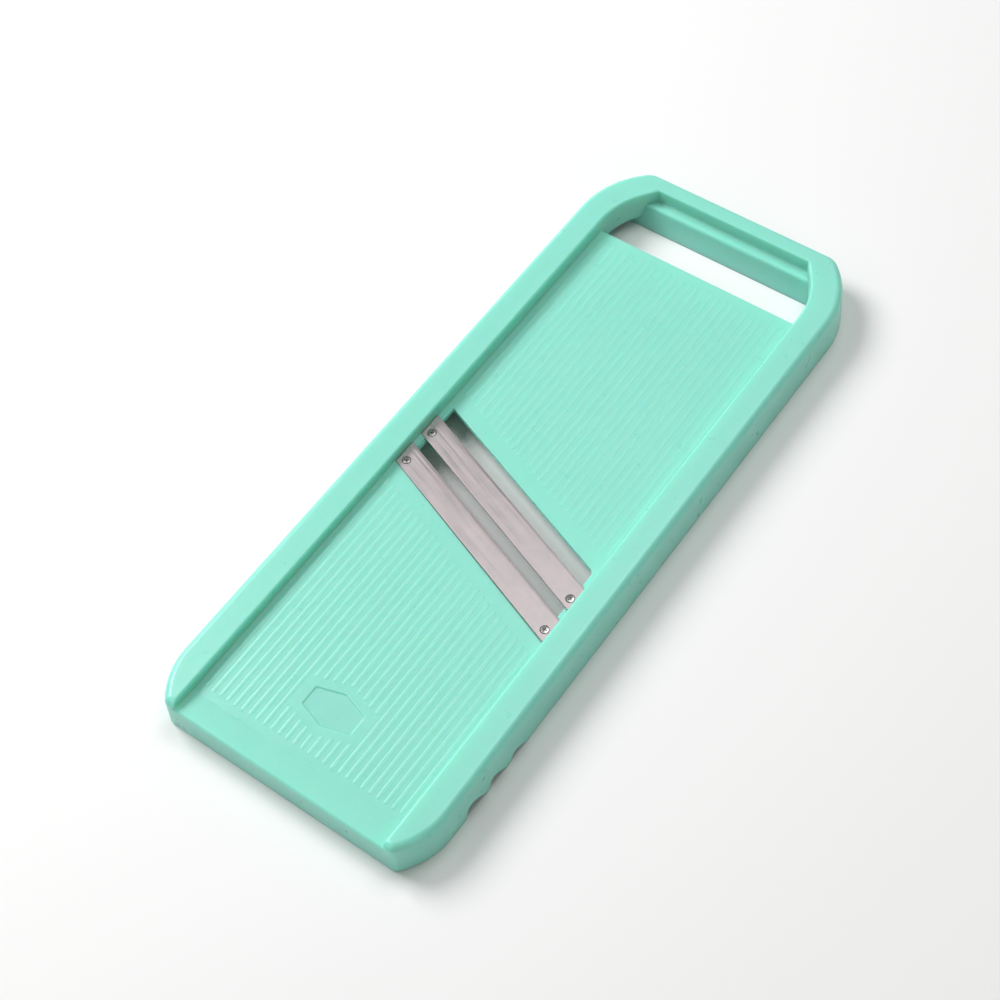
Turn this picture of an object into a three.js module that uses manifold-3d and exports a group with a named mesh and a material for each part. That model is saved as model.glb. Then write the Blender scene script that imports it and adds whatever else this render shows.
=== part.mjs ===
// Two-blade mandoline slicer: a one-piece moulded tray with two steel blades screwed into it.
// Millimetres, +Z up. The food slides along Y over the ribbed decks; the handle bar is at +Y.
import * as THREE from "three";
import { mergeVertices } from "three/addons/utils/BufferGeometryUtils.js";
import Module from "manifold-3d";

// Overall size of the tray.
const length = 333;
const width = 130;
const height = 18.2;
const backY = length / 2;
const frontY = -length / 2;
const halfWidth = width / 2;
const wallLean = 0.8; // how far the walls lean in from the base to the top
const topRounding = 3.2;
const topRoundingSteps = 4;
const shellWall = 2.6;
const plate = 2.4;

// Plan outline: each corner is a long sweep and then a tight bend.
const frontSweep = { radius: 34, bend: 4.3 };
const backSweep = { radius: 42.5, bend: 9.4, startY: 132.2 };
frontSweep.startY = frontY + 23.5;

// Food channel between the two rails, and where its walls close in on the handle.
const channelHalf = 51;
const channelBend = { startY: 128.8, radius: 36.5, angle: THREE.MathUtils.degToRad(37) };
const innerWallFoot = 4.6;
const lowerDeck = height - 4.9;
const step = 1; // one slice thickness from each level to the next
const middleLevel = lowerDeck - step;
const upperDeck = middleLevel - step;
const deckBackY = 128.5;
const rampStartY = frontY + 12.1;
const lipTop = height - 3.6;

// Handle bar: a front wall that leans back to a rounded ridge, a ledge level with the deck,
// and a step wall up to the rail tops. Each rounding is its reach along both faces.
const barFootY = 148.7;
const ridge = { y: 151.9, rounding: 1.5 };
const stepWall = { y: 157.2, fillet: 1, rounding: 0.9 };
const ledgeStartY = ridge.y + ridge.rounding;
const handleTopY = stepWall.y + stepWall.rounding;
const handleCeiling = upperDeck - plate;

// Blades, set across the channel on a slant. Places along Y are those at x = 0.
const slant = THREE.MathUtils.degToRad(20.2);
const slope = Math.tan(slant);
const bladeRun = 11.7; // blade width measured along Y
const bladeThickness = 0.7;
const bladeBevel = { run: 1.3, drop: 0.2 };
const bladeEndGap = 0.3;
const bladeCorner = 0.8;
const bladeGap = 0.3;
const blades = [
  { name: "upper", rear: -26, top: middleLevel, seat: upperDeck },
  { name: "lower", rear: -43.6, top: lowerDeck, seat: middleLevel },
];
const [upperBlade, lowerBlade] = blades;

// Opening that the slices fall through, and the pads at its ends that carry the blades.
const opening = { left: -47.8, right: 47.4, corner: 3 };
const deckEdgeY = -6.15;
const underLap = 5; // how far the lower deck reaches under the lower blade
const padReach = 44.6;
const padInset = 1.2; // how far a pad stays behind the blade's edges

// Blade screws: countersunk, self-tapping into moulded bosses.
const screwX = 47.2;
const screwFromRear = 4.05;
const head = { radius: 1.65, depth: 0.75, rim: 0.12, shoulder: 1, dome: 0.08, crown: 0.14 };
const shankRadius = 0.8;
const screwLength = 6.5;
const screwTip = { radius: 0.5, chamfer: 0.8, taper: 1.6 };
const screwGap = 0.3;
const coneDrop = 0.12; // the countersink lies this much lower than the head's cone
const bossRadius = 2.4;
const bossFoot = 3.5;
const cross = { width: 0.45, reach: 1, depth: 0.5 };

// Ribs that the food slides on.
const ribPitch = 3.67;
const ribsEachSide = 13;
const ribWidth = 1.8;
const ribCrownWidth = 0.72;
const ribHeight = 0.25;
const ribMargin = { slot: 5, opening: 8.2, rear: 7.6, front: 3.6, hexagon: 4 };

// Blank hexagonal recess near the front.
const hexagon = { y: frontY + 35.6, half: 11.9, side: 4.4, apex: 8, depth: 0.5 };

// Hooking notches in the foot of both side walls, deeper toward the front.
const notches = [
  { back: -96.1, mouth: 8.8, depth: 3.7 },
  { back: -109.4, mouth: 9.5, depth: 4.8 },
  { back: -122.2, mouth: 11.6, depth: 5.8 },
];
const notchCrown = 0.7; // the deepest point's place, as a share of the mouth from the back
const notchBackPull = 0.45; // control points of the two sides, as shares of the mouth
const notchFrontPull = 0.95;

// Stiffening webs across the rail channels.
const webY = [-50, 50];
const webThickness = 1.6;
const webFoot = 6;

const far = 200; // beyond every face of the tray
const arcSteps = 10;
const roundSides = 20;
const over = 1; // how far a cutter passes the face that it cuts
const weld = 1e-4; // points closer than this are one

const wasm = await Module();
wasm.setup();

const mint = new THREE.MeshStandardMaterial({ color: 0x9de8d3, roughness: 0.35, metalness: 0 });
const steel = new THREE.MeshStandardMaterial({ color: 0xc9bfc3, roughness: 0.32, metalness: 1 });
const screwSteel = new THREE.MeshStandardMaterial({ color: 0xb9b9b6, roughness: 0.3, metalness: 1 });

function solid(geometry) {
  geometry.deleteAttribute("normal");
  geometry.deleteAttribute("uv");
  const merged = mergeVertices(geometry, weld);
  return new wasm.Manifold(
    new wasm.Mesh({
      numProp: 3,
      vertProperties: new Float32Array(merged.attributes.position.array),
      triVerts: new Uint32Array(merged.index.array),
    })
  );
}

function meshOf(name, body, material) {
  const { vertProperties, triVerts } = body.getMesh();
  const geometry = new THREE.BufferGeometry();
  geometry.setAttribute("position", new THREE.BufferAttribute(vertProperties, 3));
  geometry.setIndex(new THREE.BufferAttribute(triVerts, 1));
  geometry.computeVertexNormals();
  const mesh = new THREE.Mesh(geometry, material);
  mesh.name = name;
  return mesh;
}

function prism(shape, low, high) {
  const options = { depth: high - low, bevelEnabled: false, curveSegments: arcSteps };
  const geometry = new THREE.ExtrudeGeometry(shape, options);
  geometry.translate(0, 0, low);
  return solid(geometry);
}

// A shape drawn in (y, z) and run along X.
function alongXGeometry(shape, left, right) {
  const options = { depth: right - left, bevelEnabled: false, curveSegments: arcSteps };
  const geometry = new THREE.ExtrudeGeometry(shape, options);
  const turn = new THREE.Matrix4().makeBasis(
    new THREE.Vector3(0, 1, 0),
    new THREE.Vector3(0, 0, 1),
    new THREE.Vector3(1, 0, 0)
  );
  return geometry.applyMatrix4(turn).translate(left, 0, 0);
}

function alongX(shape, left, right) {
  return solid(alongXGeometry(shape, left, right));
}

function polygon(points) {
  return new THREE.Shape(points.map(([x, y]) => new THREE.Vector2(x, y)));
}

function box(low, high) {
  const size = high.map((value, i) => value - low[i]);
  const geometry = new THREE.BoxGeometry(...size);
  geometry.translate(...high.map((value, i) => (value + low[i]) / 2));
  return solid(geometry);
}

function all(bodies) {
  return bodies.reduce((sum, body) => sum.add(body));
}

// The quarter outline from the side to the end: a sweep, then a bend that meets the end squarely.
function corner(sweep, endY, inset) {
  const toward = Math.sign(endY);
  const centre = new THREE.Vector2(halfWidth - sweep.radius, sweep.startY);
  const bendY = endY - toward * sweep.bend;
  const reach = sweep.radius - sweep.bend;
  const bendX = centre.x + Math.sqrt(reach ** 2 - (bendY - centre.y) ** 2);
  const turned = Math.atan2(bendY - centre.y, bendX - centre.x);
  return {
    centre,
    bend: new THREE.Vector2(bendX, bendY),
    sweepRadius: sweep.radius - inset,
    bendRadius: sweep.bend - inset,
    turned,
    toward,
  };
}

function outline(inset) {
  const front = corner(frontSweep, frontY, inset);
  const back = corner(backSweep, backY, inset);
  const quarter = Math.PI / 2;
  const half = Math.PI;
  const shape = new THREE.Shape();
  shape.moveTo(halfWidth - inset, frontSweep.startY);
  shape.absarc(back.centre.x, back.centre.y, back.sweepRadius, 0, back.turned, false);
  shape.absarc(back.bend.x, back.bend.y, back.bendRadius, back.turned, quarter, false);
  shape.absarc(-back.bend.x, back.bend.y, back.bendRadius, quarter, half - back.turned, false);
  shape.absarc(-back.centre.x, back.centre.y, back.sweepRadius, half - back.turned, half, false);
  shape.absarc(-front.centre.x, front.centre.y, front.sweepRadius, half, half - front.turned, false);
  shape.absarc(-front.bend.x, front.bend.y, front.bendRadius, half - front.turned, half + quarter, false);
  shape.absarc(front.bend.x, front.bend.y, front.bendRadius, -quarter, front.turned, false);
  shape.absarc(front.centre.x, front.centre.y, front.sweepRadius, front.turned, 0, false);
  return shape;
}

// The block with rounded upper edges and walls that lean in toward the top.
function outerBlock() {
  const geometry = new THREE.ExtrudeGeometry(outline(0), {
    depth: height,
    bevelEnabled: true,
    bevelThickness: topRounding,
    bevelSize: topRounding,
    bevelOffset: -topRounding,
    bevelSegments: topRoundingSteps,
    curveSegments: arcSteps,
  });
  geometry.translate(0, 0, -topRounding);
  const point = new THREE.Vector3();
  const position = geometry.attributes.position;
  for (let i = 0; i < position.count; i += 1) {
    point.fromBufferAttribute(position, i);
    const lean = (wallLean * point.z) / height;
    position.setX(i, point.x * (1 - lean / halfWidth));
    position.setY(i, point.y * (1 - lean / backY));
  }
  return solid(geometry).intersect(box([-far, -far, 0], [far, far, far]));
}

// Plan of the food channel, grown sideways by a margin, from one Y to another.
function channelPlan(margin, fromY, toY) {
  const { startY, radius, angle } = channelBend;
  const half = channelHalf + margin;
  const sweep = radius + margin;
  const centreX = half - sweep;
  const endX = centreX + sweep * Math.cos(angle);
  const endY = startY + sweep * Math.sin(angle);
  const lastX = endX - (toY - endY) * Math.tan(angle);
  const shape = new THREE.Shape();
  shape.moveTo(-half, fromY);
  shape.lineTo(half, fromY);
  shape.absarc(centreX, startY, sweep, 0, angle, false);
  shape.lineTo(lastX, toY);
  shape.lineTo(-lastX, toY);
  shape.absarc(-centreX, startY, sweep, Math.PI - angle, Math.PI, false);
  return shape;
}

// A band that follows the blades' slant: rear and front are its places along Y at x = 0.
function slantedPlan(left, right, rear, front) {
  return polygon([
    [left, rear - left * slope],
    [right, rear - right * slope],
    [right, front - right * slope],
    [left, front - left * slope],
  ]);
}

function slantedSolid(left, right, rear, front, low, high) {
  return prism(slantedPlan(left, right, rear, front), low, high);
}

// Everything above the decks, with the two steps that follow the blades' rear edges.
function channelCut() {
  const above = height + over;
  const plan = channelPlan(0, frontY - over, handleTopY);
  const floor = prism(plan, lowerDeck, above);
  const fromLowerBlade = slantedSolid(
    -channelHalf, channelHalf, lowerBlade.rear - bladeGap, far, middleLevel, above
  );
  const fromUpperBlade = slantedSolid(
    -channelHalf, channelHalf, upperBlade.rear - bladeGap, far, upperDeck, above
  );
  const steps = fromLowerBlade.add(fromUpperBlade).intersect(prism(plan, 0, above));
  return floor.add(steps).subtract(handleBlock()).subtract(ramp());
}

// The front ramp: the floor rises from the lower deck to the lip.
function ramp() {
  const profile = polygon([
    [rampStartY, lowerDeck],
    [rampStartY, lowerDeck - over],
    [frontY, lowerDeck - over],
    [frontY, lipTop],
  ]);
  return alongX(profile, -far, far);
}

// The bar's front wall in (y, z), from below the tray to the start of the ridge's rounding.
function barFront(back) {
  return [[barFootY + back, -over], [barFootY + back, 0], [ridge.y + back, upperDeck - ridge.rounding]];
}

function handleBlock() {
  const { y: wallY, fillet, rounding } = stepWall;
  const shape = polygon(barFront(0));
  shape.quadraticCurveTo(ridge.y, upperDeck, ledgeStartY, upperDeck);
  shape.lineTo(wallY - fillet, upperDeck);
  shape.quadraticCurveTo(wallY, upperDeck, wallY, upperDeck + fillet);
  shape.lineTo(wallY, height - rounding);
  shape.quadraticCurveTo(wallY, height, handleTopY, height);
  shape.lineTo(backY, height);
  shape.lineTo(backY, -over);
  return alongX(shape, -far, far);
}

function slotCut() {
  const plan = prism(channelPlan(0, deckBackY, ledgeStartY), -over, height + over);
  return plan.subtract(handleBlock());
}

// The hollow rails: channels open below, between the outer and the inner walls.
function railCut() {
  const inside = prism(outline(shellWall), -over, height - plate);
  const handleStart = box([-far, barFootY, -far], [far, far, far]);
  const middle = prism(channelPlan(plate, frontY - over, handleTopY), -far, far);
  return inside.subtract(handleStart).subtract(middle);
}

// The hollow inside the handle bar, lower under the ledge than behind the step wall.
function handleHollow() {
  const shape = polygon([...barFront(plate), [ridge.y + plate, height], [backY, height], [backY, -over]]);
  const inside = prism(outline(shellWall), -over, height - plate);
  const channel = prism(channelPlan(plate, frontY - over, stepWall.y + plate), handleCeiling, far);
  return alongX(shape, -far, far).intersect(inside).subtract(channel);
}

// The space under the decks, where the slices fall.
function underCut() {
  const frontWall = frontY + shellWall;
  const plan = channelPlan(0, frontWall, ledgeStartY);
  const clear = prism(plan, -over, upperDeck - plate);
  const underLowerDeck = slantedSolid(
    -channelHalf, channelHalf, -far, lowerBlade.rear - 2 * plate, 0, lowerDeck - plate
  );
  const high = underLowerDeck.intersect(prism(plan, 0, lowerDeck - plate));
  const foot = prism(channelPlan(plate + over, frontWall, ledgeStartY), -over, innerWallFoot);
  const inside = prism(outline(shellWall), -over, height);
  return all([clear, high, foot]).intersect(inside).subtract(handleBlock());
}

// The opening that the slices pass through, rounded at the corner farthest from the blades.
function bladeOpening() {
  const { left, right, corner: cut } = opening;
  const front = deckEdgeY;
  const rear = lowerBlade.rear + underLap;
  const shape = new THREE.Shape();
  shape.moveTo(left, rear - left * slope);
  shape.lineTo(right, rear - right * slope);
  shape.lineTo(right, front - right * slope - cut);
  shape.quadraticCurveTo(right, front - right * slope, right - cut, front - (right - cut) * slope);
  shape.lineTo(left, front - left * slope);
  return prism(shape, -over, height + over);
}

const screwSites = blades.flatMap((blade) => [["left", -screwX], ["right", screwX]].map(
  ([side, x]) => ({ blade, side, x, y: blade.rear + screwFromRear - x * slope, top: blade.top })
));

function cylinder(radius, low, high, x, y) {
  const geometry = new THREE.CylinderGeometry(radius, radius, high - low, roundSides);
  geometry.rotateX(Math.PI / 2);
  geometry.translate(x, y, (low + high) / 2);
  return solid(geometry);
}

// Pads and bosses under the blade ends.
function bladeSeats() {
  return all(screwSites.flatMap(({ blade, x, y }) => {
    const { rear, seat } = blade;
    const side = Math.sign(x);
    const edges = [side * padReach, side * (channelHalf + over)].sort((a, b) => a - b);
    const front = rear + bladeRun - bladeBevel.run - padInset;
    return [
      slantedSolid(...edges, rear + padInset, front, seat - plate, seat),
      cylinder(bossRadius, bossFoot, seat, x, y),
    ];
  }));
}

function pilotHoles() {
  const radius = shankRadius + screwGap;
  return all(screwSites.map(({ x, y, top }) => {
    return cylinder(radius, top - screwLength - over, height, x, y);
  }));
}

function ribSolid(x, fromY, toY, deck) {
  const half = ribWidth / 2;
  const crown = ribCrownWidth / 2;
  const profile = polygon([
    [x - half, deck - over], [x + half, deck - over], [x + half, deck],
    [x + crown, deck + ribHeight], [x - crown, deck + ribHeight], [x - half, deck],
  ]);
  const options = { depth: toY - fromY, bevelEnabled: false };
  const geometry = new THREE.ExtrudeGeometry(profile, options);
  geometry.rotateX(Math.PI / 2);
  geometry.translate(0, toY, 0);
  return solid(geometry);
}

// Half the length that the clear field round the hexagon takes out of a rib.
function fieldHalf(x) {
  const reach = hexagon.half + ribMargin.hexagon;
  if (Math.abs(x) >= reach) return 0;
  const fall = (hexagon.apex - hexagon.side) / hexagon.half;
  return hexagon.apex + ribMargin.hexagon - Math.abs(x) * fall;
}

function ribs() {
  const parts = [];
  for (let i = -ribsEachSide; i <= ribsEachSide; i += 1) {
    const x = i * ribPitch;
    const upperStart = deckEdgeY - x * slope + ribMargin.opening;
    parts.push(ribSolid(x, upperStart, deckBackY - ribMargin.slot, upperDeck));
    const lowerEnd = lowerBlade.rear - x * slope - ribMargin.rear;
    const lowerStart = rampStartY + ribMargin.front;
    const clear = fieldHalf(x);
    if (clear > 0) {
      parts.push(ribSolid(x, lowerStart, hexagon.y - clear, lowerDeck));
      parts.push(ribSolid(x, hexagon.y + clear, lowerEnd, lowerDeck));
    } else {
      parts.push(ribSolid(x, lowerStart, lowerEnd, lowerDeck));
    }
  }
  return all(parts);
}

function hexagonCut() {
  const { y, half, side, apex, depth } = hexagon;
  const plan = polygon([
    [-half, y - side], [0, y - apex], [half, y - side],
    [half, y + side], [0, y + apex], [-half, y + side],
  ]);
  return prism(plan, lowerDeck - depth, lowerDeck + over);
}

function notchCuts() {
  const parts = notches.map(({ back, mouth, depth }) => {
    const crown = back - notchCrown * mouth;
    const front = back - mouth;
    const shape = new THREE.Shape();
    shape.moveTo(front, -over);
    shape.lineTo(back, -over);
    shape.lineTo(back, 0);
    shape.quadraticCurveTo(back - notchBackPull * mouth, depth, crown, depth);
    shape.quadraticCurveTo(back - notchFrontPull * mouth, depth, front, 0);
    const right = alongX(shape, halfWidth - 2 * shellWall, halfWidth + over);
    const left = alongX(shape, -halfWidth - over, -halfWidth + 2 * shellWall);
    return right.add(left);
  });
  return all(parts);
}

function railWebs() {
  const inner = channelHalf + plate / 2;
  const outer = halfWidth - shellWall / 2;
  const half = webThickness / 2;
  const top = height - plate / 2;
  return all(webY.flatMap((y) => [
    box([inner, y - half, webFoot], [outer, y + half, top]),
    box([-outer, y - half, webFoot], [-inner, y + half, top]),
  ]));
}

function tray() {
  const shell = all([channelCut(), slotCut(), railCut(), handleHollow(), underCut()]);
  return outerBlock()
    .subtract(shell)
    .subtract(bladeOpening())
    .add(bladeSeats())
    .subtract(pilotHoles())
    .subtract(hexagonCut())
    .add(ribs())
    .add(railWebs())
    .subtract(notchCuts());
}

// One blade: a strip on the slant with its rear corners cut and its front edge ground.
function bladeStrip({ rear, top }) {
  const half = channelHalf - bladeEndGap;
  const front = rear + bladeRun;
  const cut = bladeCorner;
  const shape = polygon([
    [-half + cut, rear + (half - cut) * slope],
    [half - cut, rear - (half - cut) * slope],
    [half, rear - half * slope + cut],
    [half, front - half * slope],
    [-half, front + half * slope],
    [-half, rear + half * slope + cut],
  ]);
  const across = bladeBevel.run * Math.cos(slant);
  const ground = alongXGeometry(polygon([
    [-across, over],
    [-across, 0],
    [0, -bladeBevel.drop],
    [over, -bladeBevel.drop],
    [over, over],
  ]), -far, far);
  ground.rotateZ(-slant).translate(0, front, top);
  return prism(shape, top - bladeThickness, top).subtract(solid(ground));
}

function turned(profile, { x, y, top }) {
  const points = profile.map(([radius, z]) => new THREE.Vector2(radius, z));
  const geometry = new THREE.LatheGeometry(points, roundSides);
  return solid(geometry.rotateX(Math.PI / 2).translate(x, y, top));
}

function countersunkHole(site) {
  const shaft = shankRadius + screwGap;
  const mouth = head.radius + screwGap;
  return turned([
    [0, -2 * over],
    [shaft, -2 * over],
    [shaft, -head.depth - coneDrop],
    [mouth, -coneDrop],
    [mouth, over],
    [0, over],
  ], site);
}

function screw(site) {
  const body = turned([
    [0, -screwLength],
    [screwTip.radius, -screwLength + screwTip.chamfer],
    [shankRadius, -screwLength + screwTip.taper],
    [shankRadius, -head.depth],
    [head.radius, -head.rim],
    [head.radius, 0],
    [head.shoulder, head.dome],
    [0, head.crown],
  ], site);
  const half = cross.width / 2;
  const across = box([-cross.reach, -half, -cross.depth], [cross.reach, half, over]);
  const along = box([-half, -cross.reach, -cross.depth], [half, cross.reach, over]);
  return body.subtract(across.add(along).translate([site.x, site.y, site.top]));
}

const group = new THREE.Group();
group.add(meshOf("tray_body", tray(), mint));
for (const blade of blades) {
  const sites = screwSites.filter((site) => site.blade === blade);
  const strip = bladeStrip(blade).subtract(all(sites.map(countersunkHole)));
  group.add(meshOf(`${blade.name}_blade`, strip, steel));
  for (const site of sites) {
    group.add(meshOf(`${blade.name}_blade_screw_${site.side}`, screw(site), screwSteel));
  }
}

export default group;
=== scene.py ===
"""Two-blade mandoline slicer: the moulded tray, its blades and screws, seen in a plain studio.

Shapes are drawn in millimetres and turned into metres when a finished mesh is made.
"""
import math

import bmesh
import bpy
from mathutils import Matrix, Vector


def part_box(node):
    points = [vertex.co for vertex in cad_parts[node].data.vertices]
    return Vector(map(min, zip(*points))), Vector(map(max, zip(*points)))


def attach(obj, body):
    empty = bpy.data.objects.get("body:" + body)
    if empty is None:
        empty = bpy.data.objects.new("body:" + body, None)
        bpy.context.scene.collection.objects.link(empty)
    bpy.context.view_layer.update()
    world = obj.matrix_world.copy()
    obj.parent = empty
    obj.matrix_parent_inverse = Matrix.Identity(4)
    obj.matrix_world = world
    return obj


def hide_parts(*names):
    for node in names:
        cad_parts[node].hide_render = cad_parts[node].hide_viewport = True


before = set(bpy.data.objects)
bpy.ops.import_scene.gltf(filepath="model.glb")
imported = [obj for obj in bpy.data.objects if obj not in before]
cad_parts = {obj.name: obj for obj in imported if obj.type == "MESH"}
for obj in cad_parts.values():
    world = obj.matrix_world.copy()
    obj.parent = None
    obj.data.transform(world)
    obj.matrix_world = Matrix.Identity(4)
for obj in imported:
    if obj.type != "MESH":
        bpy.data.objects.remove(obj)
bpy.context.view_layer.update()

MM = 0.001
RIGHT_ANGLE = math.pi / 2

# Camera, read from the photo's perspective: angles in degrees, places in metres, lens in millimetres.
CAMERA_AZIMUTH = 40.844
CAMERA_ELEVATION = 56.041
CAMERA_ROLL = 6.228
CAMERA_DISTANCE = 0.7721
CAMERA_AIM = (-0.0035, -0.01637, 0.012)
LENS = 67.79
SENSOR = 36


def frame_box(node):
    """The lowest and highest corner of a frame node, in millimetres."""
    low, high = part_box(node)
    return [value / MM for value in low], [value / MM for value in high]


tray_low, tray_high = frame_box("tray_body")
HALF_WIDTH = tray_high[0]
BACK_Y = tray_high[1]
FRONT_Y = tray_low[1]
HEIGHT = tray_high[2]

# Outer wall: it leans in toward the top and has rounded edges.
LEAN = 0.8
TOP_ROUNDING = 3.2
BASE_ROUNDING = 0.4
FRONT_SWEEP = {"radius": 34, "bend": 4.3, "start": FRONT_Y + 23.5}
BACK_SWEEP = {"radius": 42.5, "bend": 9.4, "start": 132.2}
SHELL_WALL = 2.6
PLATE = 2.4

# Food channel.
SLANT = math.radians(20.2)
SLOPE = math.tan(SLANT)
BLADE_GAP = 0.3
BLADE_RUN = 11.7
BEND_START_Y = 128.8
BEND_RADIUS = 36.5
BEND_ANGLE = math.radians(37)
INNER_WALL_FOOT = 4.6
EDGE_ROUNDING = 1.2
FOOT_FILLET = 0.8
SLOT_ROUNDING = 0.45
JOINT_ROUNDING = 0.4
DECK_BACK_Y = 128.5
RAMP_START_Y = FRONT_Y + 12.1
RAMP_CREASE = 0.6
FRONT_DECK_Y = -100
BACK_DECK_Y = 60
LIP_TOP = HEIGHT - 3.6
LIP_ROUNDING = 1.1
MOUTH_FLARE = 1.1

BLADE_HALF = frame_box("upper_blade")[1][0]
CHANNEL_HALF = BLADE_HALF + BLADE_GAP
LOWER_DECK = HEIGHT - 4.9
STEP = 1
MIDDLE_LEVEL = LOWER_DECK - STEP
UPPER_DECK = MIDDLE_LEVEL - STEP
LEVELS = (UPPER_DECK, MIDDLE_LEVEL, LOWER_DECK)

# Handle bar: a leaning front wall, a rounded ridge, a ledge level with the deck and a step wall.
BAR_FOOT_Y = 148.7
RIDGE_Y = 151.9
RIDGE_ROUNDING = 1.5
LEDGE_START_Y = RIDGE_Y + RIDGE_ROUNDING
STEP_WALL_Y = 157.2
STEP_FILLET = 1
STEP_ROUNDING = 0.9
HANDLE_TOP_Y = STEP_WALL_Y + STEP_ROUNDING
HANDLE_CEILING = UPPER_DECK - PLATE

# Opening below the blades and the seats that carry them.
OPENING = {"left": -47.8, "right": 47.4, "corner": 3, "small_corner": 0.5}
DECK_EDGE_Y = -6.15
UNDER_LAP = 5
OPENING_ROUNDING = 0.4
PAD_REACH = 44.6
PAD_INSET = 1.2
BEVEL_RUN = 1.3
BEVEL_DROP = 0.2
BLADE_THICKNESS = 0.7
BLADE_CORNER = 0.9
BLADE_TIP = 0.25
BLADE_SOFT = 0.06
BOSS_RADIUS = 2.4
BOSS_FOOT = 3.5

# Blade screws.
HEAD_RADIUS = 1.65
HEAD_DEPTH = 0.75
SHANK_RADIUS = 0.8
SCREW_LENGTH = 6.5
SCREW_GAP = 0.3
CONE_DROP = 0.12
RIM_OUT = 0.5 * CONE_DROP
RIM_UP = 0.3 * CONE_DROP
HEAD_SINK = 0.1
THREAD_CORE = SHANK_RADIUS - 0.1
# Radius and height above the screw's point.
SCREW_POINT = ((0, 0), (0.3, 0.35), (THREAD_CORE, 1.6))
# Radius and height from the head's rim, from the cone's foot to the middle of the domed face.
SCREW_HEAD = (
    (THREAD_CORE, -HEAD_DEPTH - 0.1), (HEAD_RADIUS - 0.1, -0.12), (HEAD_RADIUS, -0.08),
    (HEAD_RADIUS, -0.03), (HEAD_RADIUS - 0.08, 0.02), (1, 0.08), (0.5, 0.11), (0, 0.12),
)
# Half length, half width and height of each section of one arm of the cross recess.
RECESS = ((0.42, 0.12, -0.75), (1.0, 0.22, 0.0), (1.06, 0.26, 0.3))
SCREW_TURNS = {
    "upper_blade_screw_left": math.radians(20),
    "upper_blade_screw_right": math.radians(-25),
    "lower_blade_screw_left": math.radians(35),
    "lower_blade_screw_right": math.radians(5),
}

# Colours, linear.
MINT = (0.285, 0.78, 0.63)
MINT_PALE = (0.295, 0.79, 0.64)
STEEL = (0.40, 0.37, 0.375)
STEEL_PINK = (0.45, 0.395, 0.40)
SCREW = (0.45, 0.44, 0.43)

# Ribs on the decks.
RIB_PITCH = 3.67
RIBS_EACH_SIDE = 13
RIB_HALF = 0.9
RIB_HEIGHT = 0.16
RIB_ROOT = 0.3
RIB_MARGIN = {"slot": 5, "opening": 8.2, "rear": 7.6, "front": 3.6, "hexagon": 4}

# Blank hexagonal recess.
HEXAGON = {"y": FRONT_Y + 35.6, "half": 11.9, "side": 4.4, "apex": 8, "corner": 0.9}
# The recess wall from its floor up: how far it stands outward, and its height from the deck.
HEXAGON_WALL = (
    (-0.5, -0.5), (-0.3, -0.48), (-0.12, -0.4), (0.0, -0.25), (0.12, -0.1), (0.3, -0.02),
    (0.5, 0.0),
)

# Notches that hook over a bowl's rim: back edge, mouth and depth of each.
NOTCHES = ((-96.1, 8.8, 3.7), (-109.4, 9.5, 4.8), (-122.2, 11.6, 5.8))
NOTCH_CROWN = 0.7
NOTCH_BACK_PULL = 0.45
NOTCH_FRONT_PULL = 0.95
NOTCH_TIP = 0.8
NOTCH_ROUNDING = 0.4
# The side wall's outer face at the notches, a little up its lean.
NOTCH_FACE = HALF_WIDTH - LEAN * 0.1

# Stiffening webs across the rail hollows.
WEB_YS = (-50, 50)
WEB_THICKNESS = 1.6
WEB_FOOT = 6

# How far a cutter passes the face it cuts, and a reach beyond the whole tray.
OVER = 1
FAR = 200

# Points closer than this are one point, and a turned body's axis is a ring of this radius.
SAME_PLACE = 1e-4
POINT_RADIUS = 1e-3

# Edges sharper than this many degrees stay sharp, and how far large faces set the shading.
SHARP = {"tray": 30, "blade": 20, "screw": 25}
FACE_WEIGHT = 60

LIGHT_AIM = (0, 0, 0)
FLOOR_ALBEDO = 0.9
FLOOR_SIZE = 6
WORLD_STRENGTH = 0.2


# Mesh helpers ---------------------------------------------------------------------------------


def link_mesh(name, vertices, faces):
    mesh = bpy.data.meshes.new(name)
    mesh.from_pydata([tuple(point) for point in vertices], [], faces)
    mesh.validate()
    item = bpy.data.objects.new(name, mesh)
    bpy.context.collection.objects.link(item)
    return item


def loft_faces(levels, count, first=0):
    """The faces of a body of several rings, whose vertices are numbered from the first."""
    faces = []
    for level in range(levels - 1):
        base = first + level * count
        for i in range(count):
            j = (i + 1) % count
            faces.append((base + i, base + j, base + count + j, base + count + i))
    faces.append(tuple(reversed(range(first, first + count))))
    last = first + (levels - 1) * count
    faces.append(tuple(range(last, last + count)))
    return faces


def loft(name, rings):
    """A closed body through rings of equally many points, capped at both ends."""
    vertices = [point for ring in rings for point in ring]
    return clean(link_mesh(name, vertices, loft_faces(len(rings), len(rings[0]))))


def clean(item):
    """Joins coincident points, which drops faces without area, and turns all faces outward."""
    work = bmesh.new()
    work.from_mesh(item.data)
    bmesh.ops.remove_doubles(work, verts=work.verts, dist=SAME_PLACE)
    bmesh.ops.recalc_face_normals(work, faces=work.faces)
    work.to_mesh(item.data)
    work.free()
    return item


def stack(name, plan, levels):
    """A body whose plan, grown by an amount, is known at several heights: levels are (grow, z)."""
    return loft(name, [[(x, y, z) for x, y in plan(grow)] for grow, z in levels])


def prism(name, points, low, high):
    return loft(name, [[(x, y, low) for x, y in points], [(x, y, high) for x, y in points]])


def along_x(name, points, left, right):
    return loft(name, [[(left, y, z) for y, z in points], [(right, y, z) for y, z in points]])


def block(name, low, high):
    corners = [(low[0], low[1]), (high[0], low[1]), (high[0], high[1]), (low[0], high[1])]
    return prism(name, corners, low[2], high[2])


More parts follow.
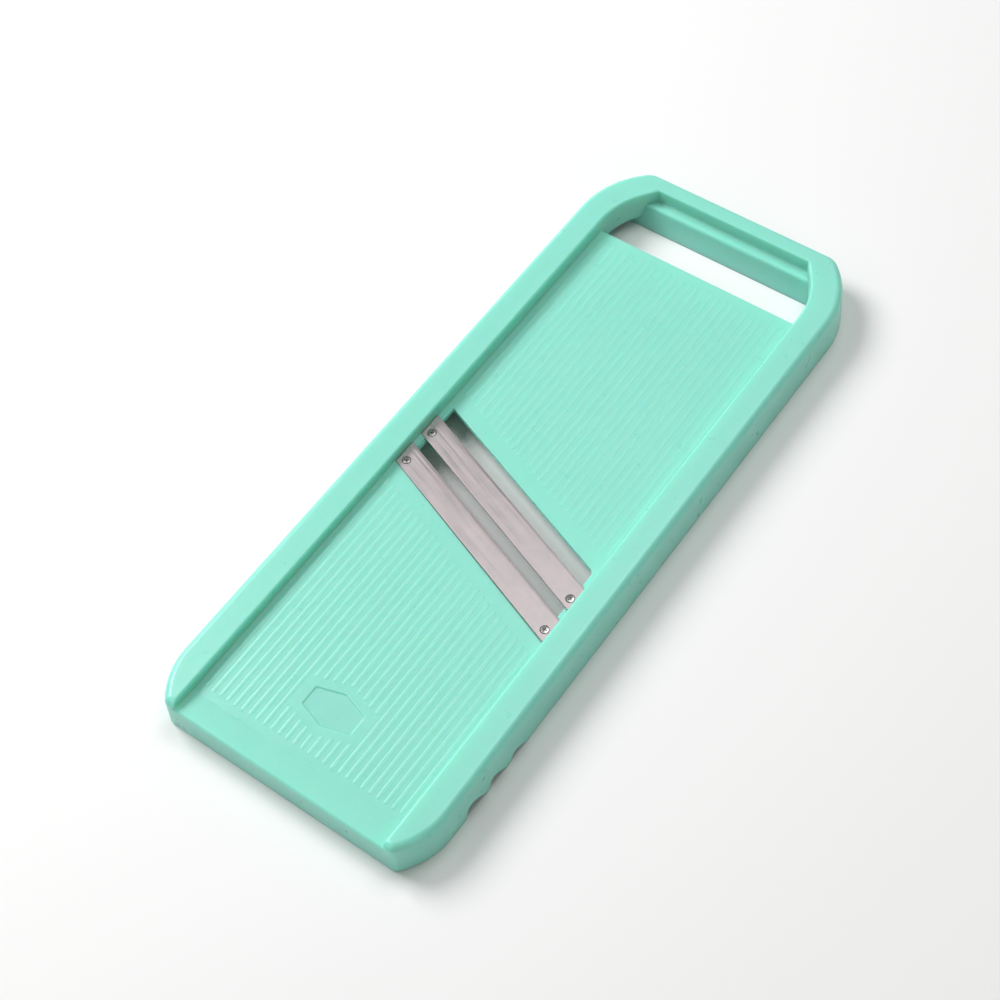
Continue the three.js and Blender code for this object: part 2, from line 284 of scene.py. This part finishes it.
def arc(centre, radius, start, end, steps):
    """Points on a circle from one angle to another, both ends included."""
    points = []
    for i in range(steps + 1):
        angle = start + (end - start) * i / steps
        points.append((centre[0] + radius * math.cos(angle), centre[1] + radius * math.sin(angle)))
    return points


def quarter_turn(steps):
    """Angles from zero to a right angle, both included."""
    return [RIGHT_ANGLE * i / steps for i in range(steps + 1)]


def curve(start, control, end, steps):
    """Points on a quadratic curve, both ends included."""
    points = []
    for i in range(steps + 1):
        t = i / steps
        weights = ((1 - t) ** 2, 2 * t * (1 - t), t * t)
        points.append(tuple(
            sum(w * p[k] for w, p in zip(weights, (start, control, end))) for k in range(2)
        ))
    return points


def grown(corners, grow):
    """A convex polygon with each side moved outward."""
    lines = []
    count = len(corners)
    for i in range(count):
        a, b = Vector(corners[i]), Vector(corners[(i + 1) % count])
        along = (b - a).normalized()
        outward = Vector((along.y, -along.x))
        lines.append((a + outward * grow, along))
    result = []
    for i in range(count):
        (p, u), (q, v) = lines[i - 1], lines[i]
        cross = u.x * v.y - u.y * v.x
        gap = q - p
        t = (gap.x * v.y - gap.y * v.x) / cross
        result.append(p + u * t)
    return result


def rounded(corners, radii, steps=8):
    """A convex polygon, counterclockwise, with each corner turned into an arc."""
    points = []
    count = len(corners)
    for i in range(count):
        here = Vector(corners[i])
        before = (Vector(corners[i - 1]) - here).normalized()
        after = (Vector(corners[(i + 1) % count]) - here).normalized()
        half = math.acos(max(-1, min(1, before.dot(after)))) / 2
        reach = radii[i] / math.tan(half)
        centre = here + (before + after).normalized() * (radii[i] / math.sin(half))
        first = here + before * reach - centre
        turn = math.pi - 2 * half
        start = math.atan2(first.y, first.x)
        points += arc(centre, radii[i], start, start + turn, steps)
    return points


def combine(base, other, operation):
    """Joins other to base, or cuts it from base, and leaves one plain mesh."""
    modifier = base.modifiers.new("combine", "BOOLEAN")
    modifier.operation = operation
    modifier.solver = "MANIFOLD"
    modifier.object = other
    result = base.evaluated_get(bpy.context.evaluated_depsgraph_get())
    mesh = bpy.data.meshes.new_from_object(result)
    base.modifiers.clear()
    base.data = mesh
    bpy.data.objects.remove(other)
    return base


def cut(base, *others):
    for other in others:
        combine(base, other, "DIFFERENCE")
    return base


def join(base, *others):
    for other in others:
        combine(base, other, "UNION")
    return base


def keep(base, *others):
    for other in others:
        combine(base, other, "INTERSECT")
    return base


def finish_mesh(item, name, sharp_degrees):
    """Names a finished piece, turns it into metres and shades its rounded edges smoothly."""
    item.name = name
    item.data.name = name
    item.data.transform(Matrix.Scale(MM, 4))
    item.data.shade_smooth()
    item.data.set_sharp_from_angle(angle=math.radians(sharp_degrees))
    weighted = item.modifiers.new("weighted", "WEIGHTED_NORMAL")
    weighted.keep_sharp = True
    weighted.weight = FACE_WEIGHT
    return item


# Tray ------------------------------------------------------------------------------------------


def corner(sweep, end_y):
    """Centres and turning angle of one outer corner: a long sweep, then a tight bend."""
    toward = math.copysign(1, end_y)
    centre = (HALF_WIDTH - sweep["radius"], sweep["start"])
    bend_y = end_y - toward * sweep["bend"]
    reach = sweep["radius"] - sweep["bend"]
    bend_x = centre[0] + math.sqrt(reach ** 2 - (bend_y - centre[1]) ** 2)
    return centre, (bend_x, bend_y), math.atan2(bend_y - centre[1], bend_x - centre[0])


def outline(inset):
    right = []
    centre, bend, turned = corner(FRONT_SWEEP, FRONT_Y)
    right += arc(bend, FRONT_SWEEP["bend"] - inset, -RIGHT_ANGLE, turned, 10)
    right += arc(centre, FRONT_SWEEP["radius"] - inset, turned, 0, 24)[1:]
    centre, bend, turned = corner(BACK_SWEEP, BACK_Y)
    right += arc(centre, BACK_SWEEP["radius"] - inset, 0, turned, 24)
    right += arc(bend, BACK_SWEEP["bend"] - inset, turned, RIGHT_ANGLE, 10)[1:]
    left = [(-x, y) for x, y in reversed(right)]
    return right + left


def lean_at(z):
    return LEAN * z / HEIGHT


def outer_block():
    levels = []
    for angle in quarter_turn(4):
        z = BASE_ROUNDING * (1 - math.cos(angle))
        levels.append((BASE_ROUNDING * (1 - math.sin(angle)), z))
    for angle in quarter_turn(12):
        z = HEIGHT - TOP_ROUNDING * (1 - math.sin(angle))
        levels.append((lean_at(z) + TOP_ROUNDING * (1 - math.cos(angle)), z))
    return stack("outer", outline, levels)


def channel_half(y, margin):
    """Half the channel's width at one place along Y, grown by a margin."""
    mouth_y = -(BACK_Y - LEAN) + MOUTH_FLARE
    if y < mouth_y:
        share = min(1, (mouth_y - y) / MOUTH_FLARE)
        return CHANNEL_HALF + margin + MOUTH_FLARE * (1 - math.sqrt(1 - share ** 2))
    if y <= BEND_START_Y:
        return CHANNEL_HALF + margin
    centre_x = CHANNEL_HALF - BEND_RADIUS
    radius = BEND_RADIUS + margin
    if y - BEND_START_Y <= radius * math.sin(BEND_ANGLE):
        return centre_x + math.sqrt(radius ** 2 - (y - BEND_START_Y) ** 2)
    end_x = centre_x + radius * math.cos(BEND_ANGLE)
    end_y = BEND_START_Y + radius * math.sin(BEND_ANGLE)
    return end_x - (y - end_y) * math.tan(BEND_ANGLE)


def channel_side(y, floor):
    """One side of the channel's section: a fillet, the wall and its rounded edge."""
    points = []
    for angle in quarter_turn(6):
        margin = -FOOT_FILLET * (1 - math.sin(angle))
        points.append((margin, floor + FOOT_FILLET * (1 - math.cos(angle))))
    for level in LEVELS:
        points.append((0, max(floor, level) + FOOT_FILLET))
    for angle in quarter_turn(8):
        margin = EDGE_ROUNDING * (1 - math.cos(angle))
        points.append((margin, HEIGHT - EDGE_ROUNDING * (1 - math.sin(angle))))
    points.append((EDGE_ROUNDING, HEIGHT + 2 * OVER))
    return [(channel_half(y, margin), z) for margin, z in points]


def channel_row(left_y, right_y, floor):
    right = [(x, right_y, z) for x, z in channel_side(right_y, floor)]
    left = [(-x, left_y, z) for x, z in channel_side(left_y, floor)]
    return right + left[::-1]


def level_row(y, floor):
    return channel_row(y, y, floor)


def slanted_row(y, floor):
    """A row along the blades' slant, its place along Y given at x = 0."""
    return channel_row(y + CHANNEL_HALF * SLOPE, y - CHANNEL_HALF * SLOPE, floor)


def lip_rows():
    """Over the lip and down the ramp to the lower deck."""
    rise = (LIP_TOP - LOWER_DECK) / (RAMP_START_Y - FRONT_Y)
    tilt = math.atan(rise)
    face_y = FRONT_Y + lean_at(LIP_TOP - LIP_ROUNDING)
    centre_y = face_y + LIP_ROUNDING
    centre_z = LOWER_DECK + rise * (RAMP_START_Y - centre_y) - LIP_ROUNDING / math.cos(tilt)
    rows = [level_row(FRONT_Y - OVER, centre_z)]
    for i in range(9):
        angle = RIGHT_ANGLE - (RIGHT_ANGLE + tilt) * i / 8
        y = centre_y - LIP_ROUNDING * math.sin(angle)
        rows.append(level_row(y, centre_z + LIP_ROUNDING * math.cos(angle)))
    for i in range(5):
        ahead = RAMP_CREASE * (1 - i / 4)
        y = RAMP_START_Y + RAMP_CREASE / 2 - ahead
        rows.append(level_row(y, LOWER_DECK + rise * ahead ** 2 / (2 * RAMP_CREASE)))
    return rows


def channel_cutter():
    blade_rear = {name: rear_of(name) - BLADE_GAP for name in ("upper_blade", "lower_blade")}
    rows = lip_rows()
    rows.append(level_row(FRONT_DECK_Y, LOWER_DECK))
    for blade, high, low in (
        ("lower_blade", LOWER_DECK, MIDDLE_LEVEL), ("upper_blade", MIDDLE_LEVEL, UPPER_DECK)
    ):
        rear = blade_rear[blade]
        for angle in quarter_turn(5):
            y = rear - JOINT_ROUNDING * (1 - math.sin(angle))
            rows.append(slanted_row(y, high - JOINT_ROUNDING * (1 - math.cos(angle))))
        rows.append(slanted_row(rear, low))
    rows.append(level_row(BACK_DECK_Y, UPPER_DECK))
    for angle in quarter_turn(6):
        y = DECK_BACK_Y - SLOT_ROUNDING * (1 - math.sin(angle))
        rows.append(level_row(y, UPPER_DECK - SLOT_ROUNDING * (1 - math.cos(angle))))
    rows.append(level_row(DECK_BACK_Y, -OVER))
    for i in range(25):
        y = BEND_START_Y + BEND_RADIUS * math.sin(BEND_ANGLE * i / 24)
        rows.append(level_row(y, -OVER))
    rows.append(level_row(HANDLE_TOP_Y + OVER, -OVER))
    return cut(loft("channel", rows), handle_bar())


def bar_front(back):
    """The bar's front wall in (y, z), moved back by an amount, up to the ridge's rounding."""
    foot_y = BAR_FOOT_Y + back
    return [(foot_y, -OVER), (foot_y, 0), (RIDGE_Y + back, UPPER_DECK - RIDGE_ROUNDING)]


def handle_bar():
    """The bar as a solid: what the channel's cutter leaves standing."""
    front = bar_front(0)
    lean = RIDGE_ROUNDING * (RIDGE_Y - BAR_FOOT_Y) / front[-1][1]
    ridge = curve(front[-1], (RIDGE_Y + lean, UPPER_DECK), (LEDGE_START_Y, UPPER_DECK), 10)
    foot = curve(
        (STEP_WALL_Y - STEP_FILLET, UPPER_DECK), (STEP_WALL_Y, UPPER_DECK),
        (STEP_WALL_Y, UPPER_DECK + STEP_FILLET), 8,
    )
    top = curve(
        (STEP_WALL_Y, HEIGHT - STEP_ROUNDING), (STEP_WALL_Y, HEIGHT), (HANDLE_TOP_Y, HEIGHT), 8
    )
    above = HEIGHT + 3 * OVER
    points = front[:-1] + ridge + foot + top
    points += [(HANDLE_TOP_Y, above), (BACK_Y + OVER, above), (BACK_Y + OVER, -OVER)]
    return along_x("handle", points, -FAR, FAR)


def rear_of(blade):
    """Where a blade's rear edge lies along Y at x = 0."""
    return frame_box(blade)[1][1] - BLADE_HALF * SLOPE - BLADE_RUN


def channel_plan(margin, from_y, to_y):
    ys = [from_y]
    ys += [BEND_START_Y + BEND_RADIUS * math.sin(BEND_ANGLE * i / 16) for i in range(17)]
    ys = [y for y in ys if y < to_y and y >= from_y] + [to_y]
    right = [(channel_half(y, margin), y) for y in ys]
    return right + [(-x, y) for x, y in reversed(right)]


def slanted_block(name, left, right, rear, front, low, high):
    corners = [
        (left, rear - left * SLOPE), (right, rear - right * SLOPE),
        (right, front - right * SLOPE), (left, front - left * SLOPE),
    ]
    return prism(name, corners, low, high)


def rail_cutter():
    inside = prism("rails", outline(SHELL_WALL), -OVER, HEIGHT - PLATE)
    handle = block("handle", (-FAR, BAR_FOOT_Y, -FAR), (FAR, FAR, FAR))
    plan = channel_plan(PLATE, FRONT_Y - OVER, HANDLE_TOP_Y)
    cut(inside, handle, prism("middle", plan, -FAR, FAR))
    half = WEB_THICKNESS / 2
    for y in WEB_YS:
        cut(inside, block("web", (-FAR, y - half, WEB_FOOT), (FAR, y + half, FAR)))
    return inside


def handle_hollow():
    """The hollow in the bar: low under the ledge, higher behind the step wall and at the ends."""
    points = bar_front(PLATE) + [(RIDGE_Y + PLATE, HEIGHT), (BACK_Y, HEIGHT), (BACK_Y, -OVER)]
    hollow = along_x("hollow", points, -FAR, FAR)
    keep(hollow, prism("inside", outline(SHELL_WALL), -OVER, HEIGHT - PLATE))
    plan = channel_plan(PLATE, FRONT_Y - OVER, STEP_WALL_Y + PLATE)
    return cut(hollow, prism("channel", plan, HANDLE_CEILING, FAR))


def under_cutters():
    wall_y = FRONT_Y + SHELL_WALL
    rear = rear_of("lower_blade") - 2 * PLATE
    cutters = []
    for name, margin, top in (
        ("clear", 0, UPPER_DECK - PLATE),
        ("high", 0, LOWER_DECK - PLATE),
        ("foot", PLATE + OVER, INNER_WALL_FOOT),
    ):
        body = prism(name, channel_plan(margin, wall_y, LEDGE_START_Y), -OVER, top)
        if name == "high":
            keep(body, slanted_block("slab", -FAR, FAR, -FAR, rear, -2 * OVER, HEIGHT))
        keep(body, prism("inside", outline(SHELL_WALL), -2 * OVER, HEIGHT))
        cut(body, handle_bar())
        cutters.append(body)
    return cutters


def opening_corners():
    front = DECK_EDGE_Y
    rear = rear_of("lower_blade") + UNDER_LAP
    left, right = OPENING["left"], OPENING["right"]
    return [
        (left, rear - left * SLOPE), (right, rear - right * SLOPE),
        (right, front - right * SLOPE), (left, front - left * SLOPE),
    ]


def opening_plan(grow):
    corners = ("small_corner", "small_corner", "corner", "small_corner")
    return rounded(grown(opening_corners(), grow), [OPENING[key] + grow for key in corners])


def opening_cutter():
    levels = [(0, -OVER)]
    for angle in quarter_turn(5):
        grow = OPENING_ROUNDING * (1 - math.cos(angle))
        levels.append((grow, UPPER_DECK - OPENING_ROUNDING * (1 - math.sin(angle))))
    levels.append((OPENING_ROUNDING, HEIGHT + OVER))
    return stack("opening", opening_plan, levels)


def screw_places():
    """Each screw's node name, its blade, and the middle of its head."""
    places = []
    for blade in ("upper_blade", "lower_blade"):
        for side in ("left", "right"):
            node = f"{blade}_screw_{side}"
            low, high = frame_box(node)
            places.append((node, blade, (low[0] + high[0]) / 2, (low[1] + high[1]) / 2))
    return places


def circle(radius, x, y, steps):
    return arc((x, y), radius, 0, 2 * math.pi * (steps - 1) / steps, steps - 1)


def cylinder(name, radius, low, high, x, y, steps=32):
    return prism(name, circle(radius, x, y, steps), low, high)


def blade_seats():
    seats = []
    for _, blade, x, y in screw_places():
        seat = UPPER_DECK if blade == "upper_blade" else MIDDLE_LEVEL
        rear = rear_of(blade)
        edges = sorted((math.copysign(PAD_REACH, x), math.copysign(CHANNEL_HALF + OVER, x)))
        front = rear + BLADE_RUN - BEVEL_RUN - PAD_INSET
        seats.append(slanted_block("pad", *edges, rear + PAD_INSET, front, seat - PLATE, seat))
        seats.append(cylinder("boss", BOSS_RADIUS, BOSS_FOOT, seat, x, y))
    return seats


def pilot_holes():
    radius = SHANK_RADIUS + SCREW_GAP
    holes = []
    for node, _, x, y in screw_places():
        foot = frame_box(node)[0][2] - OVER
        holes.append(cylinder("pilot", radius, foot, HEIGHT, x, y))
    return holes


def rib_rings(x, from_y, to_y, deck):
    """A low half-round bar with rounded ends, sunk a little into the deck."""
    stations = []
    for angle in quarter_turn(5)[1:]:
        stations.append((from_y + RIB_HALF * (1 - math.cos(angle)), math.sin(angle)))
    stations += [(from_y + to_y - y, share) for y, share in reversed(stations)]
    rings = []
    for y, share in stations:
        ring = [(x + RIB_HALF * share, y, deck - RIB_ROOT)]
        for i in range(9):
            angle = math.pi * i / 8
            rise = deck + RIB_HEIGHT * share * math.sin(angle)
            ring.append((x + RIB_HALF * share * math.cos(angle), y, rise))
        ring.append((x - RIB_HALF * share, y, deck - RIB_ROOT))
        rings.append(ring)
    return rings


def field_half(x):
    """Half the length that the clear field round the hexagon takes out of a rib."""
    if abs(x) >= HEXAGON["half"] + RIB_MARGIN["hexagon"]:
        return 0
    fall = (HEXAGON["apex"] - HEXAGON["side"]) / HEXAGON["half"]
    return HEXAGON["apex"] + RIB_MARGIN["hexagon"] - abs(x) * fall


def rib_spans(x):
    """Where the ribs at one x start and end along Y, and the deck that each stands on."""
    upper_start = DECK_EDGE_Y - x * SLOPE + RIB_MARGIN["opening"]
    yield upper_start, DECK_BACK_Y - RIB_MARGIN["slot"], UPPER_DECK
    start = RAMP_START_Y + RIB_MARGIN["front"]
    end = rear_of("lower_blade") - x * SLOPE - RIB_MARGIN["rear"]
    clear = field_half(x)
    if clear > 0:
        yield start, HEXAGON["y"] - clear, LOWER_DECK
        yield HEXAGON["y"] + clear, end, LOWER_DECK
    else:
        yield start, end, LOWER_DECK


def ribs():
    vertices = []
    faces = []
    for i in range(-RIBS_EACH_SIDE, RIBS_EACH_SIDE + 1):
        x = i * RIB_PITCH
        for start, end, deck in rib_spans(x):
            rings = rib_rings(x, start, end, deck)
            faces += loft_faces(len(rings), len(rings[0]), len(vertices))
            vertices += [point for ring in rings for point in ring]
    return clean(link_mesh("ribs", vertices, faces))


def hexagon_plan(grow):
    y, half, side, apex = (HEXAGON[key] for key in ("y", "half", "side", "apex"))
    corners = [
        (-half, y - side), (0, y - apex), (half, y - side),
        (half, y + side), (0, y + apex), (-half, y + side),
    ]
    return rounded(grown(corners, grow), [HEXAGON["corner"] + grow] * len(corners), 5)


def hexagon_cutter():
    levels = [(grow, LOWER_DECK + z) for grow, z in HEXAGON_WALL]
    levels.append((HEXAGON_WALL[-1][0], LOWER_DECK + OVER))
    return stack("hexagon", hexagon_plan, levels)


def notch_profile(back, mouth, depth):
    """One notch in the side wall's foot, with its two tips rounded."""
    crown = back - NOTCH_CROWN * mouth
    front = back - mouth
    points = [(back + NOTCH_TIP, -OVER)]
    points += arc((back + NOTCH_TIP, NOTCH_TIP), NOTCH_TIP, -RIGHT_ANGLE, -math.pi, 5)
    rise = curve((back, NOTCH_TIP), (back - NOTCH_BACK_PULL * mouth, depth), (crown, depth), 12)
    fall = curve((crown, depth), (back - NOTCH_FRONT_PULL * mouth, depth), (front, NOTCH_TIP), 12)
    points += rise[1:] + fall[1:]
    points += arc((front - NOTCH_TIP, NOTCH_TIP), NOTCH_TIP, 0, -RIGHT_ANGLE, 5)[1:]
    points.append((front - NOTCH_TIP, -OVER))
    return points


def spread(points, grow):
    """An open run of points moved to its outer side, for the flared ends of a cutter."""
    moved = []
    for i, (y, z) in enumerate(points):
        before = Vector(points[max(i - 1, 0)])
        after = Vector(points[min(i + 1, len(points) - 1)])
        along = (after - before).normalized()
        moved.append((y + along.y * grow, z - along.x * grow))
    return moved


def notch_cutters():
    cutters = []
    for notch in NOTCHES:
        profile = notch_profile(*notch)
        sections = [(HALF_WIDTH - 2 * SHELL_WALL, 0)]
        for angle in quarter_turn(5):
            grow = NOTCH_ROUNDING * (1 - math.cos(angle))
            sections.append((NOTCH_FACE - NOTCH_ROUNDING * (1 - math.sin(angle)), grow))
        sections.append((HALF_WIDTH + OVER, NOTCH_ROUNDING))
        for side in (-1, 1):
            rings = [[(side * x, y, z) for y, z in spread(profile, grow)] for x, grow in sections]
            cutters.append(loft("notch", rings))
    return cutters


def build_tray():
    tray = outer_block()
    cut(tray, channel_cutter(), rail_cutter(), handle_hollow(), *under_cutters(), opening_cutter())
    join(tray, *blade_seats())
    cut(tray, *pilot_holes(), hexagon_cutter())
    join(tray, ribs())
    cut(tray, *notch_cutters())
    return finish_mesh(tray, "moulded_tray", SHARP["tray"])


# Blades and screws -----------------------------------------------------------------------------


def turned(name, profile, x, y, top, steps=40):
    """A body turned about the vertical through (x, y): the profile is (radius, height from top)."""
    rings = []
    for radius, z in profile:
        ring = circle(max(radius, POINT_RADIUS), x, y, steps)
        rings.append([(px, py, top + z) for px, py in ring])
    return loft(name, rings)


def screws_of(blade):
    return [(x, y) for _, owner, x, y in screw_places() if owner == blade]


def blade_plan(blade):
    rear = rear_of(blade)
    front = rear + BLADE_RUN
    half = BLADE_HALF
    corners = [
        (-half, rear + half * SLOPE), (half, rear - half * SLOPE),
        (half, front - half * SLOPE), (-half, front + half * SLOPE),
    ]
    radii = [BLADE_CORNER, BLADE_CORNER, BLADE_TIP, BLADE_TIP]
    return lambda grow: rounded(grown(corners, grow), [radius + grow for radius in radii])


def build_blade(blade):
    """A steel strip with a ground front edge and a countersunk hole for each screw."""
    top = frame_box(blade)[1][2]
    low = top - BLADE_THICKNESS
    soft = BLADE_SOFT
    levels = [(-soft, low), (0, low + soft), (0, top - soft), (-soft, top)]
    strip = stack(blade, blade_plan(blade), levels)
    across = BEVEL_RUN * math.cos(SLANT)
    wedge = along_x("ground", [
        (-across, OVER), (-across, 0), (0, -BEVEL_DROP), (OVER, -BEVEL_DROP), (OVER, OVER),
    ], -FAR, FAR)
    front = rear_of(blade) + BLADE_RUN
    wedge.data.transform(Matrix.Translation((0, front, top)) @ Matrix.Rotation(-SLANT, 4, "Z"))
    cut(strip, wedge)
    shaft = SHANK_RADIUS + SCREW_GAP
    mouth = HEAD_RADIUS + SCREW_GAP
    for x, y in screws_of(blade):
        cut(strip, turned("hole", [
            (shaft, -2 * OVER), (shaft, -HEAD_DEPTH - CONE_DROP), (mouth, -CONE_DROP),
            (mouth + RIM_OUT, RIM_UP), (mouth + RIM_OUT, OVER),
        ], x, y, top))
    return finish_mesh(strip, f"{blade}_steel", SHARP["blade"])


def build_screw(node, blade, x, y):
    """A countersunk screw, its head a little below the blade's face, with a cross recess."""
    top = frame_box(blade)[1][2] - HEAD_SINK
    length = SCREW_LENGTH - HEAD_SINK
    point = [(radius, rise - length) for radius, rise in SCREW_POINT]
    screw = turned(node, point + list(SCREW_HEAD), x, y, top)
    for turn in (0, RIGHT_ANGLE):
        arm = loft("recess", [
            [(sx * reach, sy * half, z) for sx, sy in ((-1, -1), (1, -1), (1, 1), (-1, 1))]
            for reach, half, z in RECESS
        ])
        place = Matrix.Translation((x, y, top)) @ Matrix.Rotation(SCREW_TURNS[node] + turn, 4, "Z")
        arm.data.transform(place)
        cut(screw, arm)
    return finish_mesh(screw, f"{node}_head", SHARP["screw"])


# Materials -------------------------------------------------------------------------------------


def new_material(name, color, roughness):
    material = bpy.data.materials.new(name)
    material.use_nodes = True
    shader = material.node_tree.nodes["Principled BSDF"]
    shader.inputs["Base Color"].default_value = (*color, 1)
    shader.inputs["Roughness"].default_value = roughness
    return material, shader


class Grain:
    """Noise patterns fixed to the object, for one material."""

    def __init__(self, material, turn=0):
        self.tree = material.node_tree
        self.place = self.tree.nodes.new("ShaderNodeTexCoord").outputs["Object"]
        if turn:
            self.place = self.mapped((1, 1, 1), turn)

    def mapped(self, stretch, turn=0):
        node = self.tree.nodes.new("ShaderNodeMapping")
        node.inputs["Scale"].default_value = stretch
        node.inputs["Rotation"].default_value = (0, 0, turn)
        self.tree.links.new(self.place, node.inputs["Vector"])
        return node.outputs["Vector"]

    def noise(self, scale, detail, stretch=(1, 1, 1), shift=0):
        node = self.tree.nodes.new("ShaderNodeTexNoise")
        node.inputs["Scale"].default_value = scale
        node.inputs["Detail"].default_value = detail
        node.inputs["Distortion"].default_value = shift
        self.tree.links.new(self.mapped(stretch), node.inputs["Vector"])
        return node.outputs["Fac"]

    def ranged(self, value, low, high, from_low=0.3, from_high=0.7):
        node = self.tree.nodes.new("ShaderNodeMapRange")
        node.inputs["From Min"].default_value = from_low
        node.inputs["From Max"].default_value = from_high
        node.inputs["To Min"].default_value = low
        node.inputs["To Max"].default_value = high
        self.tree.links.new(value, node.inputs["Value"])
        return node.outputs["Result"]

    def mixed(self, value, low, high):
        node = self.tree.nodes.new("ShaderNodeMix")
        node.data_type = "RGBA"
        node.inputs["A"].default_value = (*low, 1)
        node.inputs["B"].default_value = (*high, 1)
        self.tree.links.new(value, node.inputs["Factor"])
        return node.outputs["Result"]

    def bump(self, height, distance, strength, onto=None):
        node = self.tree.nodes.new("ShaderNodeBump")
        node.inputs["Distance"].default_value = distance
        node.inputs["Strength"].default_value = strength
        self.tree.links.new(height, node.inputs["Height"])
        if onto:
            self.tree.links.new(onto, node.inputs["Normal"])
        return node.outputs["Normal"]

    def feed(self, value, socket):
        self.tree.links.new(value, socket)


def mint_plastic():
    """Soft moulded plastic: light enters it a little, and its skin is gently uneven."""
    material, shader = new_material("mint_plastic", MINT, roughness=0.33)
    shader.inputs["Subsurface Weight"].default_value = 0.8
    shader.inputs["Subsurface Radius"].default_value = (0.3, 1.0, 0.8)
    shader.inputs["Subsurface Scale"].default_value = 0.005
    shader.inputs["IOR"].default_value = 1.49
    grain = Grain(material)
    cloud = grain.ranged(grain.noise(scale=22, detail=3), low=0, high=1)
    grain.feed(grain.mixed(cloud, MINT, MINT_PALE), shader.inputs["Base Color"])
    sheen = grain.ranged(grain.noise(scale=160, detail=4), low=0.27, high=0.36)
    grain.feed(sheen, shader.inputs["Roughness"])
    skin = grain.bump(grain.noise(scale=60, detail=1), distance=0.0002, strength=0.12)
    grain.feed(skin, shader.inputs["Normal"])
    return material


def blade_steel():
    """Rolled strip: streaks along its length, faint stains and a fine grain."""
    material, shader = new_material("blade_steel", STEEL, roughness=0.38)
    shader.inputs["Metallic"].default_value = 1
    grain = Grain(material, SLANT)
    stain = grain.noise(scale=160, detail=5, shift=0.6)
    stain = grain.ranged(stain, low=0, high=1, from_low=0.35, from_high=0.68)
    grain.feed(grain.mixed(stain, STEEL, STEEL_PINK), shader.inputs["Base Color"])
    streaks = grain.noise(scale=900, detail=4, stretch=(0.03, 1, 1))
    grain.feed(grain.ranged(streaks, low=0.32, high=0.5), shader.inputs["Roughness"])
    fine = grain.noise(scale=2200, detail=3, stretch=(0.04, 1, 1))
    fine = grain.bump(fine, distance=0.00002, strength=0.35)
    skin = grain.bump(stain, distance=0.00003, strength=0.1, onto=fine)
    grain.feed(skin, shader.inputs["Normal"])
    return material


def screw_steel():
    material, shader = new_material("screw_steel", SCREW, roughness=0.25)
    shader.inputs["Metallic"].default_value = 1
    grain = Grain(material)
    sheen = grain.ranged(grain.noise(scale=900, detail=3), low=0.2, high=0.34)
    grain.feed(sheen, shader.inputs["Roughness"])
    fine = grain.bump(grain.noise(scale=3000, detail=2), distance=0.00002, strength=0.3)
    grain.feed(fine, shader.inputs["Normal"])
    return material


# Studio ----------------------------------------------------------------------------------------


def add_camera():
    data = bpy.data.cameras.new("camera")
    data.lens = LENS
    data.sensor_width = SENSOR
    camera = bpy.data.objects.new("camera", data)
    bpy.context.collection.objects.link(camera)
    azimuth = math.radians(CAMERA_AZIMUTH)
    elevation = math.radians(CAMERA_ELEVATION)
    toward = Vector((
        math.cos(elevation) * math.sin(azimuth),
        -math.cos(elevation) * math.cos(azimuth),
        math.sin(elevation),
    ))
    camera.location = Vector(CAMERA_AIM) + toward * CAMERA_DISTANCE
    turn = (-toward).to_track_quat("-Z", "Y").to_matrix()
    roll = Matrix.Rotation(math.radians(-CAMERA_ROLL), 3, "Z")
    camera.rotation_euler = (turn @ roll).to_euler()
    bpy.context.scene.camera = camera


def area_light(name, place, size, power, color=(1, 1, 1)):
    """A soft round lamp at a place in metres, turned to the middle of the tray."""
    data = bpy.data.lights.new(name, "AREA")
    data.shape = "DISK"
    data.size = size
    data.energy = power
    data.color = color
    light = bpy.data.objects.new(name, data)
    light.location = place
    light.rotation_euler = (Vector(LIGHT_AIM) - Vector(place)).to_track_quat("-Z", "Y").to_euler()
    bpy.context.collection.objects.link(light)


def add_floor():
    bpy.ops.mesh.primitive_plane_add(size=FLOOR_SIZE, location=(0, 0, 0))
    plane = bpy.context.object
    plane.name = "floor"
    material = new_material("floor", (FLOOR_ALBEDO,) * 3, roughness=0.6)[0]
    plane.data.materials.append(material)


def add_world():
    world = bpy.data.worlds.new("world")
    bpy.context.scene.world = world
    world.use_nodes = True
    background = world.node_tree.nodes["Background"]
    background.inputs["Color"].default_value = (1, 1, 1, 1)
    background.inputs["Strength"].default_value = WORLD_STRENGTH


add_camera()
add_floor()
area_light("key", place=(-1.2, 0, 1.2), size=0.9, power=23)
area_light("top", place=(0, 0.64, 1.58), size=0.9, power=8.5)
area_light("side", place=(1.45, -0.68, 0.58), size=0.9, power=2.5, color=(1, 0.95, 0.8))
area_light("front", place=(-0.69, -0.99, 1.2), size=0.8, power=2)
add_world()
bpy.context.scene.view_settings.view_transform = "Standard"


def place(item, node, material, slot):
    """Puts a finished piece in a frame node's place, with its material."""
    item.data.materials.clear()
    item.data.materials.append(material)
    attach(item, "root")
    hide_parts(node)


place(build_tray(), "tray_body", mint_plastic(), "mint_plastic")
steel = blade_steel()
for blade in ("upper_blade", "lower_blade"):
    place(build_blade(blade), blade, steel, "blade_steel")
bright = screw_steel()
for node, blade, x, y in screw_places():
    place(build_screw(node, blade, x, y), node, bright, "screw_steel")
